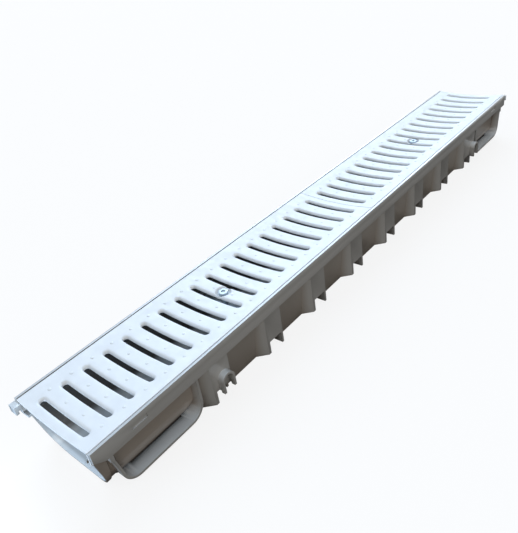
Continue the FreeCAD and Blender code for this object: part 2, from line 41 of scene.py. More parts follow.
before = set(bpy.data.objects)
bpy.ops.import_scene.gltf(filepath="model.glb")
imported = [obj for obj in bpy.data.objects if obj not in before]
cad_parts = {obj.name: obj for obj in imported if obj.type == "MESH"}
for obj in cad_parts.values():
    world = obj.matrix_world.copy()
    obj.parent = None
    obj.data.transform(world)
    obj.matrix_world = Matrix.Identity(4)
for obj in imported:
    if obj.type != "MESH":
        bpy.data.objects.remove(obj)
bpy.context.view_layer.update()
ENDS = ("near", "far")
CHANNEL = "channel"
# the grates end where the trough does, short of its end pegs
HALF_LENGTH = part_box("grate_far")[1][1]
UP = Vector((0, 0, 1))
WHITE = (1.0, 1.0, 1.0, 1.0)
TINY = 1e-6
# the sockets of a colour Mix node, which share their names with others of its sockets
SHARE, FIRST, SECOND, MIXED = 0, 6, 7, 2


def millimetres(value):
    """A length in millimetres as Blender's metres."""
    return value * 0.001


SAME_PLACE = millimetres(0.01)


class ChannelSettings(bpy.types.PropertyGroup):
    """Colours and small sizes of the channel's finish, with the colours of its painted light and shade."""

    # the lighter copy of the plastic's colour, kept on the outer faces, which more light reaches
    plastic_colour: StringProperty(
        name="Plastic colour", description="sRGB hex of the taupe polypropylene, scuffed pale",
        default="A9A59F")
    # painted shade: a darker, browner copy of the plastic's colour for the recessed faces nearer the middle
    recess_shade_colour: StringProperty(
        name="Recess shade colour", description="sRGB hex of the polypropylene that nothing scuffs",
        default="8C7F72")
    # painted shade: the dark colour of the trough's inner walls and floor, which little light reaches
    inner_shade_colour: StringProperty(
        name="Inner shade colour", description="sRGB hex of the trough's inner walls, stained by water",
        default="443E38")
    # painted light: a pale, bluish colour for faces that look up, the end faces and inner faces near the open
    # ends
    painted_light_colour: StringProperty(
        name="Painted light colour", description="sRGB hex of the polypropylene where it is rubbed or dusted pale",
        default="DDE3E6")
    # painted shade: the dark colour of the tight corners
    corner_shade_colour: StringProperty(
        name="Corner shade colour", description="sRGB hex of the dirt in tight corners", default="2E2A26")
    steel_colour: StringProperty(
        name="Steel colour", description="sRGB hex of the galvanised sheet", default="E8EAEB")
    zinc_colour: StringProperty(
        name="Zinc colour", description="sRGB hex of the zinc-plated fasteners", default="B3C1CC")
    plastic_edge: FloatProperty(
        name="Plastic edge", description="Rounding of the moulding's edges", default=millimetres(0.5),
        unit="LENGTH")
    fastener_edge: FloatProperty(
        name="Fastener edge", description="Rounding of the fasteners' edges", default=millimetres(0.35),
        unit="LENGTH")
    dot_radius: FloatProperty(
        name="Dot radius", description="Radius of the raised grip dots", default=millimetres(2.1),
        unit="LENGTH")
    dot_height: FloatProperty(
        name="Dot height", description="Height of the raised grip dots", default=millimetres(0.6),
        unit="LENGTH")
    dot_spacing: FloatProperty(
        name="Dot spacing", description="Spacing of the grip dots across a land", default=millimetres(29.8),
        unit="LENGTH")
    dots_across: IntProperty(
        name="Dots across", description="Grip dots across each land", default=4, min=0)


class GrateSettings(bpy.types.PropertyGroup):
    """Sizes of the pressed grates that the frame does not carry."""

    sag: FloatProperty(
        name="Sag", description="Depth of the dish across the grate", default=millimetres(4.5), unit="LENGTH")
    sheet: FloatProperty(
        name="Sheet", description="Thickness of the steel sheet", default=millimetres(2), unit="LENGTH")
    sheet_edge: FloatProperty(
        name="Sheet edge", description="Rounding of the sheet's cut edges", default=millimetres(0.4),
        unit="LENGTH")
    slots: IntProperty(name="Slots", description="Slots in each grate", default=18, min=2)
    slot_pitch: FloatProperty(
        name="Slot pitch", description="Spacing of the slots", default=millimetres(27.6), unit="LENGTH")
    slot_length: FloatProperty(
        name="Slot length", description="Length of a slot over its round ends", default=millimetres(81),
        unit="LENGTH")
    slot_width: FloatProperty(
        name="Slot width", description="Width of a slot inside its lip", default=millimetres(7.3),
        unit="LENGTH")
    slot_roll: FloatProperty(
        name="Slot roll", description="Radius of the roll into a slot", default=millimetres(2.8),
        unit="LENGTH")
    lip_depth: FloatProperty(
        name="Lip depth", description="How far the lips reach below the dish", default=millimetres(4),
        unit="LENGTH")
    side_roll: FloatProperty(
        name="Side roll", description="Radius of the bend into the side flanges", default=millimetres(1),
        unit="LENGTH")
    cup_depth: FloatProperty(
        name="Cup depth", description="Depth of the screw's cup below the dish", default=millimetres(4.5),
        unit="LENGTH")
    cup_floor: FloatProperty(
        name="Cup floor", description="Radius of the cup's flat floor", default=millimetres(6.8),
        unit="LENGTH")
    cup_mouth: FloatProperty(
        name="Cup mouth", description="Radius where the cup runs out into the sheet", default=millimetres(11),
        unit="LENGTH")


class StageSettings(bpy.types.PropertyGroup):
    """Camera, floor and light."""

    camera_place: FloatVectorProperty(
        name="Camera place", description="Where the camera stands", default=(0.42679, -0.62601, 0.45819),
        subtype="TRANSLATION", unit="LENGTH")
    camera_turn: FloatVectorProperty(
        name="Camera turn", description="How the camera is turned", subtype="EULER", unit="ROTATION",
        default=(math.radians(58.1033), math.radians(9.0675), math.radians(40.6076)))
    camera_lens: FloatProperty(
        name="Focal length", description="Focal length on a 36 mm sensor, in millimetres", default=38.312)
    camera_shift: FloatVectorProperty(
        name="Camera shift", description="Shift that sets the channel where the frame has it",
        default=(0.0406, -0.0128), size=2)
    floor_colour: StringProperty(
        name="Floor colour", description="sRGB hex of the floor", default="FAF8F5")
    floor_bounce: StringProperty(
        name="Floor bounce", description="sRGB hex of the floor as it lights the object", default="3A3835")
    floor_glow: FloatProperty(
        name="Floor glow", description="How much of the floor the camera sees as plain white", default=0.85,
        subtype="FACTOR")
    key_strength: FloatProperty(
        name="Key strength", description="Strength of the soft light from behind the channel", default=2.6)
    key_spread: FloatProperty(
        name="Key spread", description="Angle of the key light", default=math.radians(50), unit="ROTATION")
    key_direction: FloatVectorProperty(
        name="Key direction", description="Where the key light comes from", default=(-0.48, 0.66, 0.58),
        subtype="XYZ")
    fill_strength: FloatProperty(
        name="Fill strength", description="Strength of the soft light from the right", default=0.8)
    fill_spread: FloatProperty(
        name="Fill spread", description="Angle of the fill light", default=math.radians(50), unit="ROTATION")
    fill_direction: FloatVectorProperty(
        name="Fill direction", description="Where the fill light comes from", default=(0.85, -0.35, 0.4),
        subtype="XYZ")
    fill_colour: StringProperty(
        name="Fill colour", description="sRGB hex of the fill light", default="F0EFEC")
    end_strength: FloatProperty(
        name="End strength", description="Strength of the low light that shines into the near end",
        default=0.7)
    end_spread: FloatProperty(
        name="End spread", description="Angle of the end light", default=math.radians(30), unit="ROTATION")
    end_direction: FloatVectorProperty(
        name="End direction", description="Where the end light comes from", default=(-0.62, -0.76, 0.2),
        subtype="XYZ")
    card_power: FloatProperty(
        name="Card power", description="Power of the low card that lights the near end", default=0.3)
    card_size: FloatProperty(
        name="Card size", description="Side of the low card", default=millimetres(60), unit="LENGTH")
    card_place: FloatVectorProperty(
        name="Card place", description="Where the low card stands, below the grates' top",
        default=(-0.03, -0.65, 0.035), subtype="TRANSLATION", unit="LENGTH")
    card_direction: FloatVectorProperty(
        name="Card direction", description="Where the low card lies, seen from the near end",
        default=(-0.2, -0.98, 0.0), subtype="XYZ")
    zenith_strength: FloatProperty(
        name="Zenith strength", description="Strength of the soft light straight from above", default=0.65)
    horizon_strength: FloatProperty(
        name="Horizon strength", description="Strength of the soft light from the sides", default=0.3)
    zenith_colour: StringProperty(
        name="Zenith colour", description="sRGB hex of the light from above", default="C8DEF6")
    horizon_colour: StringProperty(
        name="Horizon colour", description="sRGB hex of the light from the sides", default="F8F4EE")


def linear(hex_colour):
    """An sRGB hex colour as linear RGBA."""
    channels = [int(hex_colour[start:start + 2], 16) / 255 for start in (0, 2, 4)]
    return tuple(c / 12.92 if c <= 0.04045 else ((c + 0.055) / 1.055) ** 2.4 for c in channels) + (1.0,)


def shaded(colour, factor):
    """A linear colour made darker or lighter by a factor."""
    return tuple(min(c * factor, 1.0) for c in colour[:3]) + (1.0,)


def add_node(tree, kind, settings=None, inputs=None, links=None):
    """Add a shader node with its settings, its input values and its incoming links."""
    node = tree.nodes.new(kind)
    for name, value in (settings or {}).items():
        setattr(node, name, value)
    for name, value in (inputs or {}).items():
        node.inputs[name].default_value = value
    for name, source in (links or {}).items():
        tree.links.new(source, node.inputs[name])
    return node


def new_material(name):
    """An empty node material and its tree."""
    material = bpy.data.materials.new(name)
    material.use_nodes = True
    material.node_tree.nodes.clear()
    return material, material.node_tree


def finish_material(tree, shader):
    """Give a material's surface its shader."""
    add_node(tree, "ShaderNodeOutputMaterial", links={"Surface": shader.outputs[0]})


def pattern_scale(size_mm):
    """Texture scale that makes a pattern's cells that many millimetres across, in object coordinates."""
    return 1 / millimetres(size_mm)


def inward_look(tree, place, normal):
    """How far a face looks towards the trough's middle: over zero on the inner walls and floor, under zero on
    the outer faces, and about zero on the end faces."""
    back = add_node(tree, "ShaderNodeMath", {"operation": "MULTIPLY"}, {1: -1.0}, {0: place.outputs["X"]})
    middle = add_node(tree, "ShaderNodeCombineXYZ", inputs={"Z": millimetres(20)},
                      links={"X": back.outputs[0]})
    look = add_node(tree, "ShaderNodeVectorMath", {"operation": "DOT_PRODUCT"},
                    links={0: normal, 1: middle.outputs["Vector"]})
    return look.outputs["Value"]


def lit_mouths(tree, place, along, look):
    """Share of painted light on the inner faces near the trough's mouths, which lean out as they rise."""
    lean = 0.19
    reach = add_node(tree, "ShaderNodeMath", {"operation": "MULTIPLY_ADD"}, {1: -lean},
                     {0: place.outputs["Z"], 2: along})
    near_mouth = add_node(tree, "ShaderNodeMapRange",
                          inputs={"From Min": HALF_LENGTH - millimetres(25),
                                  "From Max": HALF_LENGTH - millimetres(17)},
                          links={"Value": reach.outputs[0]})
    looks_in = add_node(tree, "ShaderNodeMath", {"operation": "GREATER_THAN"}, {1: -millimetres(5)},
                        {0: look})
    share = add_node(tree, "ShaderNodeMath", {"operation": "MULTIPLY"},
                     links={0: near_mouth.outputs["Result"], 1: looks_in.outputs[0]})
    return share.outputs[0]


def painted_light_and_shade(tree, surface, fresh, settings):
    """The moulding's colour, made paler by painted light and darker by painted shade."""
    # the pale colour of the painted light
    pale = linear(settings.painted_light_colour)
    normal = surface.outputs["Normal"]
    place = add_node(tree, "ShaderNodeSeparateXYZ", links={"Vector": surface.outputs["Object"]})
    across = add_node(tree, "ShaderNodeMath", {"operation": "ABSOLUTE"}, links={0: place.outputs["X"]})
    along = add_node(tree, "ShaderNodeMath", {"operation": "ABSOLUTE"}, links={0: place.outputs["Y"]})
    look = inward_look(tree, place, normal)
    # painted light: faces that look up are made paler, though never all the way to the pale colour
    tilt = add_node(tree, "ShaderNodeSeparateXYZ", links={"Vector": normal})
    top_light = add_node(tree, "ShaderNodeMapRange", inputs={"From Min": 0.35, "From Max": 0.95, "To Max": 0.65},
                    links={"Value": tilt.outputs["Z"]})
    # painted shade: inner walls take a dark colour, other sheltered faces a darker copy of the plastic's
    inner_shade_share = add_node(tree, "ShaderNodeMapRange",
                     inputs={"From Min": millimetres(3), "From Max": millimetres(10)}, links={"Value": look})
    shaded_inside = add_node(tree, "ShaderNodeMix", {"data_type": "RGBA"},
                       {FIRST: linear(settings.recess_shade_colour), SECOND: linear(settings.inner_shade_colour)},
                       {SHARE: inner_shade_share.outputs["Result"]})
    # painted light lifts the painted shade inside, near the open ends and where faces look up
    mouths = lit_mouths(tree, place, along.outputs[0], look)
    lighter = add_node(tree, "ShaderNodeMath", {"operation": "MAXIMUM"},
                       links={0: mouths, 1: top_light.outputs["Result"]})
    inside_lit_and_shaded = add_node(tree, "ShaderNodeMix", {"data_type": "RGBA"}, {SECOND: pale},
                         {SHARE: lighter.outputs[0], FIRST: shaded_inside.outputs[MIXED]})
    # painted shade by place: faces nearer the middle than the lugs, bands and straps take the darker colour
    outer = add_node(tree, "ShaderNodeMapRange",
                     inputs={"From Min": millimetres(50), "From Max": millimetres(60)},
                     links={"Value": across.outputs[0]})
    # painted light: the outer faces that look up are made paler
    top_lit = add_node(tree, "ShaderNodeMix", {"data_type": "RGBA"}, {SECOND: pale},
                      {SHARE: top_light.outputs["Result"], FIRST: fresh})
    lit_outside = add_node(tree, "ShaderNodeMix", {"data_type": "RGBA"},
                       links={SHARE: outer.outputs["Result"], FIRST: inside_lit_and_shaded.outputs[MIXED],
                              SECOND: top_lit.outputs[MIXED]})
    # painted light: the end faces and pegs are made pale, as if lit at the ends
    end = add_node(tree, "ShaderNodeMapRange",
                   inputs={"From Min": HALF_LENGTH - millimetres(0.8),
                           "From Max": HALF_LENGTH - millimetres(0.2)},
                   links={"Value": along.outputs[0]})
    end_lit = add_node(tree, "ShaderNodeMix", {"data_type": "RGBA"}, {SECOND: pale},
                      {SHARE: end.outputs["Result"], FIRST: lit_outside.outputs[MIXED]})
    # painted shade: tight corners are darkened by ambient occlusion
    corners = add_node(tree, "ShaderNodeAmbientOcclusion", {"samples": 8}, {"Distance": millimetres(30)})
    unshaded = add_node(tree, "ShaderNodeMapRange", inputs={"From Min": 0.15, "From Max": 0.5},
                     links={"Value": corners.outputs["AO"]})
    corner_shaded = add_node(tree, "ShaderNodeMix", {"data_type": "RGBA"}, {FIRST: linear(settings.corner_shade_colour)},
                         {SHARE: unshaded.outputs["Result"], SECOND: end_lit.outputs[MIXED]})
    return corner_shaded.outputs[MIXED]


def moulded_polypropylene(settings):
    """Taupe polypropylene, injection moulded: a satin skin with fine grain and faint flow clouding. Painted
    light makes it pale on the outer faces, where it looks up, at its ends and inside near the open ends, and
    painted shade makes it dark on the recessed faces, inside and in its tight corners."""
    material, tree = new_material("Moulded polypropylene, taupe")
    surface = add_node(tree, "ShaderNodeTexCoord")
    # the melt flowed along the channel, so the clouds are four times as long as they are wide
    flow = add_node(tree, "ShaderNodeMapping", inputs={"Scale": (1.0, 0.25, 1.0)},
                    links={"Vector": surface.outputs["Object"]})
    clouds = add_node(tree, "ShaderNodeTexNoise", inputs={"Scale": pattern_scale(40), "Detail": 4.0},
                      links={"Vector": flow.outputs["Vector"]})
    base = linear(settings.plastic_colour)
    tint = add_node(tree, "ShaderNodeMix", {"data_type": "RGBA"},
                    {FIRST: shaded(base, 0.86), SECOND: shaded(base, 1.12)}, {SHARE: clouds.outputs["Fac"]})
    grain = add_node(tree, "ShaderNodeTexNoise", inputs={"Scale": pattern_scale(1.2), "Detail": 2.0},
                     links={"Vector": surface.outputs["Object"]})
    # the eroded grain is really about 0.1 mm, drawn coarser so that it shows
    bump = add_node(tree, "ShaderNodeBump", inputs={"Strength": 0.12, "Distance": millimetres(0.15)},
                    links={"Height": grain.outputs["Fac"]})
    rough = add_node(tree, "ShaderNodeMapRange", inputs={"To Min": 0.26, "To Max": 0.36},
                     links={"Value": clouds.outputs["Fac"]})
    shader = add_node(tree, "ShaderNodeBsdfPrincipled",
                      inputs={"IOR": 1.49, "Coat Weight": 1.0, "Coat Roughness": 0.2},
                      links={"Base Color": painted_light_and_shade(tree, surface, tint.outputs[MIXED], settings),
                             "Roughness": rough.outputs["Result"], "Normal": bump.outputs["Normal"]})
    finish_material(tree, shader)
    return material


def galvanised_sheet(settings):
    """Mild steel sheet, hot-dip galvanised: pale and bluish, with soft spangle that only shifts its shine."""
    material, tree = new_material("Galvanised steel sheet")
    place = add_node(tree, "ShaderNodeTexCoord").outputs["Object"]
    spangle = add_node(tree, "ShaderNodeTexVoronoi", inputs={"Scale": pattern_scale(7), "Randomness": 1.0},
                       links={"Vector": place})
    mottle = add_node(tree, "ShaderNodeTexNoise", inputs={"Scale": pattern_scale(14), "Detail": 4.0},
                      links={"Vector": place})
    base = linear(settings.steel_colour)
    tint = add_node(tree, "ShaderNodeMix", {"data_type": "RGBA"}, {FIRST: shaded(base, 0.9), SECOND: base},
                    {SHARE: mottle.outputs["Fac"]})
    cell = add_node(tree, "ShaderNodeSeparateColor", links={"Color": spangle.outputs["Color"]})
    rough = add_node(tree, "ShaderNodeMapRange", inputs={"To Min": 0.6, "To Max": 0.7},
                     links={"Value": cell.outputs[0]})
    bump = add_node(tree, "ShaderNodeBump", inputs={"Strength": 0.1, "Distance": millimetres(0.1)},
                    links={"Height": mottle.outputs["Fac"]})
    # weathered zinc is covered by a dull white skin, so it shines only partly like metal
    shader = add_node(tree, "ShaderNodeBsdfPrincipled", inputs={"Metallic": 0.25},
                      links={"Base Color": tint.outputs[MIXED], "Roughness": rough.outputs["Result"],
                             "Normal": bump.outputs["Normal"]})
    finish_material(tree, shader)
    return material


def zinc_plate(settings):
    """Bright zinc-plated steel: smooth and a little blue, with faint drawing lines."""
    material, tree = new_material("Zinc-plated steel")
    place = add_node(tree, "ShaderNodeTexCoord").outputs["Object"]
    lines = add_node(tree, "ShaderNodeTexNoise", inputs={"Scale": pattern_scale(2), "Detail": 3.0},
                     links={"Vector": place})
    base = linear(settings.zinc_colour)
    tint = add_node(tree, "ShaderNodeMix", {"data_type": "RGBA"}, {FIRST: shaded(base, 0.8), SECOND: base},
                    {SHARE: lines.outputs["Fac"]})
    rough = add_node(tree, "ShaderNodeMapRange", inputs={"To Min": 0.48, "To Max": 0.58},
                     links={"Value": lines.outputs["Fac"]})
    shader = add_node(tree, "ShaderNodeBsdfPrincipled", inputs={"Metallic": 1.0},
                      links={"Base Color": tint.outputs[MIXED], "Roughness": rough.outputs["Result"]})
    finish_material(tree, shader)
    return material


def floor_paper(settings):
    """Plain matt paper that shows pale and throws only a little light back up."""
    material, tree = new_material("Floor paper")
    rays = add_node(tree, "ShaderNodeLightPath")
    tint = add_node(tree, "ShaderNodeMix", {"data_type": "RGBA"},
                    {FIRST: linear(settings.floor_bounce), SECOND: linear(settings.floor_colour)},
                    {SHARE: rays.outputs["Is Camera Ray"]})
    paper = add_node(tree, "ShaderNodeBsdfPrincipled", inputs={"Roughness": 0.9},
                     links={"Base Color": tint.outputs[MIXED]})
    glow = add_node(tree, "ShaderNodeEmission", inputs={"Color": WHITE, "Strength": 1.0})
    share = add_node(tree, "ShaderNodeMath", {"operation": "MULTIPLY"}, {1: settings.floor_glow},
                     {0: rays.outputs["Is Camera Ray"]})
    mixed = add_node(tree, "ShaderNodeMixShader",
                     links={0: share.outputs[0], 1: paper.outputs[0], 2: glow.outputs[0]})
    finish_material(tree, mixed)
    return material


def link_object(name, mesh, material):
    """Show a mesh in its material as an object at the origin."""
    mesh.materials.append(material)
    piece = bpy.data.objects.new(name, mesh)
    bpy.context.scene.collection.objects.link(piece)
    return piece


def mesh_from(shape, name):
    """Turn a bmesh into a mesh with smooth faces, and free the bmesh."""
    mesh = bpy.data.meshes.new(name)
    shape.to_mesh(mesh)
    shape.free()
    mesh.polygons.foreach_set("use_smooth", [True] * len(mesh.polygons))
    return mesh


def steady_mesh(shape, name):
    """The mesh of a new shape, with its corners, edges and faces in a fixed order. Some bmesh operators leave
    them in an order that changes from run to run, and the modifiers then round a few corners differently."""
    reach = 1.0
    steps = round(2 * reach / SAME_PLACE) + 1
    count = len(shape.verts)

    def place_number(vertex):
        """A corner's place as one whole number, in small steps from a corner one metre below the origin."""
        across, along, up = (round((value + reach) / SAME_PLACE) for value in vertex.co)
        return (across * steps + along) * steps + up

    def corner_number(part):
        """The first corners of an edge or face as one whole number."""
        first, second, *others = sorted(vertex.index for vertex in part.verts)
        return (first * count + second) * count + (others[0] if others else 0)

    shape.verts.sort(key=place_number)
    shape.verts.index_update()
    shape.edges.sort(key=corner_number)
    shape.faces.sort(key=corner_number)
    mesh = mesh_from(shape, name)
    for edge in mesh.edges:
        edge.vertices = sorted(edge.vertices)
    return mesh


def add_bevel(piece, width, angle=35):
    """Round a piece's sharp edges with a live modifier."""
    bevel = piece.modifiers.new("Rounded edges", "BEVEL")
    bevel.width = width
    bevel.segments = 2
    bevel.limit_method = "ANGLE"
    bevel.angle_limit = math.radians(angle)
    bevel.harden_normals = True


def softened_copy(node, name, material, edge, body=CHANNEL):
    """A copy of a CAD piece with its edges rounded, in place of the piece."""
    shape = bmesh.new()
    shape.from_mesh(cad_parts[node].data)
    bmesh.ops.remove_doubles(shape, verts=shape.verts[:], dist=millimetres(0.002))
    bmesh.ops.dissolve_limit(shape, angle_limit=math.radians(0.5), verts=shape.verts[:], edges=shape.edges[:])
    piece = link_object(name, mesh_from(shape, name), material)
    add_bevel(piece, edge)
    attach(piece, body)
    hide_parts(node)
    return piece


class SlottedSheet:
    """One pressed grate sheet, drawn flat about its own middle and then dished into its place."""

    def __init__(self, settings, low, high):
        self.sizes = settings
        self.low = low
        self.high = high
        self.half_width = high.x
        self.half_length = (high.y - low.y) / 2
        self.middle = (high.y + low.y) / 2
        self.flat_half = self.half_width - settings.side_roll
        self.hole_half = settings.slot_width / 2
        self.straight = settings.slot_length / 2 - self.hole_half
        self.cell_half = settings.slot_pitch / 2
        self.dish_radius = (self.half_width ** 2 + settings.sag ** 2) / (2 * settings.sag)
        self.shape = bmesh.new()

    def dish(self, across):
        """Height of the dished face at a place across the grate."""
        reach = min(abs(across), self.half_width)
        rise = self.dish_radius - math.sqrt(self.dish_radius ** 2 - reach ** 2)
        return self.high.z - self.sizes.sag + rise

    def slot_frame(self, point):
        """The nearest point of the slot's middle line, and the way out from it."""
        core = Vector((max(-self.straight, min(self.straight, point.x)), 0, 0))
        out = Vector((point.x, point.y, 0)) - core
        return core, out.normalized()

    def cell_edge(self, core, out):
        """Where the way out from the slot meets the edge of the slot's own stretch of sheet."""
        room = self.flat_half - abs(core.x)
        ways = [room / abs(out.x)] if abs(out.x) > TINY else []
        ways += [self.cell_half / abs(out.y)] if abs(out.y) > TINY else []
        return core + out * min(ways)

    def extrude_ring(self, edges, place):
        """Extrude a ring of edges and set each new vertex by its old place."""
        made = bmesh.ops.extrude_edge_only(self.shape, edges=edges)["geom"]
        for vertex in (item for item in made if isinstance(item, bmesh.types.BMVert)):
            vertex.co = place(vertex.co.copy())
        return [item for item in made if isinstance(item, bmesh.types.BMEdge) and item.is_boundary]

    def draw_slot(self):
        """One slot with its rolled lip, out to the edges of its own stretch of sheet."""
        sizes = self.sizes
        bmesh.ops.create_circle(self.shape, cap_ends=False, segments=32, radius=self.hole_half)
        for vertex in self.shape.verts:
            if abs(vertex.co.x) > TINY:
                vertex.co.x += math.copysign(self.straight, vertex.co.x)
        sides = [edge for edge in self.shape.edges if edge.calc_length() > self.straight / 2]
        bmesh.ops.subdivide_edges(self.shape, edges=sides, cuts=7)
        for vertex in self.shape.verts:
            core, out = self.slot_frame(vertex.co)
            vertex.co = core + out * self.hole_half
            vertex.co.z = -sizes.lip_depth
        ring = self.shape.edges[:]
        steps = 5
        for step in range(steps + 1):
            angle = math.radians(90) * step / steps
            grow = sizes.slot_roll * (1 - math.cos(angle))
            drop = sizes.slot_roll * (1 - math.sin(angle))
            ring = self.extrude_ring(ring, lambda point: self.roll_point(point, grow, -drop))
        rings = 3
        for number in range(1, rings + 1):
            share = number / rings
            ring = self.extrude_ring(ring, lambda point: self.land_point(point, share))
        outer = {vertex for edge in ring for vertex in edge.verts}
        for across in (-self.flat_half, self.flat_half):
            for along in (-self.cell_half, self.cell_half):
                corner = Vector((across, along, 0))
                min(outer, key=lambda vertex: (vertex.co - corner).length).co = corner

    def roll_point(self, point, grow, height):
        """A point moved out onto the rolled lip."""
        core, out = self.slot_frame(point)
        moved = core + out * (self.hole_half + grow)
        moved.z = height
        return moved

    def land_point(self, point, share):
        """A point moved a share of the way from the lip to the edge of the slot's stretch."""
        core, out = self.slot_frame(point)
        start = core + out * (self.hole_half + self.sizes.slot_roll)
        return start.lerp(self.cell_edge(core, out), share)

    def repeat_slots(self):
        """The slot's stretch of sheet in a row along the grate, and the plain margin at each end."""
        first = self.shape.verts[:] + self.shape.edges[:] + self.shape.faces[:]
        count = self.sizes.slots
        pitch = self.sizes.slot_pitch
        for number in range(1, count):
            copy = bmesh.ops.duplicate(self.shape, geom=first)["geom"]
            verts = [item for item in copy if isinstance(item, bmesh.types.BMVert)]
            bmesh.ops.translate(self.shape, verts=verts, vec=(0, number * pitch, 0))
        bmesh.ops.translate(self.shape, verts=self.shape.verts[:], vec=(0, -(count - 1) * pitch / 2, 0))
        bmesh.ops.remove_doubles(self.shape, verts=self.shape.verts[:], dist=SAME_PLACE)
        row_half = count * pitch / 2
        ends = [edge for edge in self.shape.edges
                if all(abs(abs(vertex.co.y) - row_half) < SAME_PLACE for vertex in edge.verts)]
        self.extrude_ring(
            ends, lambda point: Vector((point.x, math.copysign(self.half_length, point.y), point.z)))

    def press_cup(self):
        """Press the screw's cup into the middle of the sheet."""
        sizes = self.sizes
        margin = millimetres(4)
        dense = [edge for edge in self.shape.edges
                 if all(vertex.co.xy.length < sizes.cup_mouth + margin for vertex in edge.verts)]
        bmesh.ops.subdivide_edges(self.shape, edges=dense, cuts=3, use_grid_fill=True)
        for vertex in self.shape.verts:
            share = (sizes.cup_mouth - vertex.co.xy.length) / (sizes.cup_mouth - sizes.cup_floor)
            share = max(0.0, min(1.0, share))
            # level at the mouth and at the floor, and steepest half way
            vertex.co.z -= sizes.cup_depth * share * share * (3 - 2 * share)

    def turn_down_sides(self):
        """Bend the long edges down and return the edges that the flanges hang from."""
        sizes = self.sizes
        sides = [edge for edge in self.shape.edges
                 if all(abs(abs(vertex.co.x) - self.flat_half) < SAME_PLACE for vertex in edge.verts)]
        steps = 4
        for step in range(1, steps + 1):
            angle = math.radians(90) * step / steps
            across = self.flat_half + sizes.side_roll * math.sin(angle)
            drop = sizes.side_roll * (1 - math.cos(angle))
            sides = self.extrude_ring(
                sides, lambda point: Vector((math.copysign(across, point.x), point.y, -drop)))
        return sides

    def finish(self):
        """Dish the sheet, set it in its place, draw its flanges down to the ledges and return its shape."""
        flanges = self.turn_down_sides()
        for vertex in self.shape.verts:
            vertex.co.z += self.dish(vertex.co.x)
            vertex.co.y += self.middle
        foot = self.low.z
        self.extrude_ring(flanges, lambda point: Vector((point.x, point.y, foot)))
        bmesh.ops.recalc_face_normals(self.shape, faces=self.shape.faces[:])
        if sum(face.normal.z * face.calc_area() for face in self.shape.faces) < 0:
            bmesh.ops.reverse_faces(self.shape, faces=self.shape.faces[:])
        return self.shape


def grip_dots(sheet, settings):
    """Low raised dots across each land between two slots."""
    shape = bmesh.new()
    bmesh.ops.create_uvsphere(shape, u_segments=12, v_segments=8, radius=settings.dot_radius)
    everything = shape.verts[:] + shape.edges[:] + shape.faces[:]
    bmesh.ops.bisect_plane(shape, geom=everything, plane_no=UP, clear_inner=True)
    bmesh.ops.scale(shape, vec=(1, 1, settings.dot_height / settings.dot_radius), verts=shape.verts[:])
    dome = shape.verts[:] + shape.edges[:] + shape.faces[:]
    sunk = millimetres(0.05)
    lands = sheet.sizes.slots - 1
    for land in range(lands):
        along = sheet.middle + (land - (lands - 1) / 2) * sheet.sizes.slot_pitch
        for number in range(settings.dots_across):
            across = (number - (settings.dots_across - 1) / 2) * settings.dot_spacing
            copy = bmesh.ops.duplicate(shape, geom=dome)["geom"]
            verts = [item for item in copy if isinstance(item, bmesh.types.BMVert)]
            bmesh.ops.translate(shape, verts=verts, vec=(across, along, sheet.dish(across) - sunk))
    bmesh.ops.delete(shape, geom=[item for item in dome if isinstance(item, bmesh.types.BMVert)])
    return shape


class CHANNEL_OT_body(bpy.types.Operator):
    """Finish the moulded trough."""

    bl_idname = "channel.body"
    bl_label = "Moulded trough"

    def execute(self, context):
        settings = context.scene.channel_settings
        plastic = moulded_polypropylene(settings)
        softened_copy("channel_body", "trough", plastic, settings.plastic_edge)
        return {"FINISHED"}


class CHANNEL_OT_grates(bpy.types.Operator):
    """Press the two slotted grates."""

    bl_idname = "channel.grates"
    bl_label = "Pressed grates"

    def execute(self, context):
        settings = context.scene.channel_settings
        steel = galvanised_sheet(settings)
        for end in ENDS:
            node = f"grate_{end}"
            low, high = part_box(node)
            sheet = SlottedSheet(context.scene.grate_settings, Vector(low), Vector(high))
            sheet.draw_slot()
            sheet.repeat_slots()
            sheet.press_cup()
            dots = grip_dots(sheet, settings)
            grate_name, dots_name = f"pressed_grate_{end}", f"grip_dots_{end}"
            grate = link_object(grate_name, steady_mesh(sheet.finish(), grate_name), steel)
            self.give_thickness(grate, sheet.sizes)
            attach(grate, CHANNEL)
            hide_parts(node)
            studs = link_object(dots_name, steady_mesh(dots, dots_name), steel)
            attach(studs, CHANNEL)
        return {"FINISHED"}

    def give_thickness(self, piece, sizes):
        """Thicken the sheet downwards and round its cut edges, with live modifiers."""
        wall = piece.modifiers.new("Sheet thickness", "SOLIDIFY")
        wall.thickness = sizes.sheet
        wall.offset = -1
        add_bevel(piece, sizes.sheet_edge, angle=60)


class CHANNEL_OT_fasteners(bpy.types.Operator):
    """Finish the screws, washers, nuts and clamp bars."""

    bl_idname = "channel.fasteners"
    bl_label = "Screws and clamps"

    def execute(self, context):
        settings = context.scene.channel_settings
        zinc = zinc_plate(settings)
        for end in ENDS:
            turning = f"clamp_{end}"
            pieces = {"screw": ("screw_steel", turning), "washer": ("screw_steel", CHANNEL),
                      "clamp_bar": ("bar_steel", turning), "nut": ("screw_steel", turning)}
            for piece, (slot, body) in pieces.items():
                softened_copy(f"{piece}_{end}", f"plated_{piece}_{end}", zinc, settings.fastener_edge,
                              body)
        return {"FINISHED"}


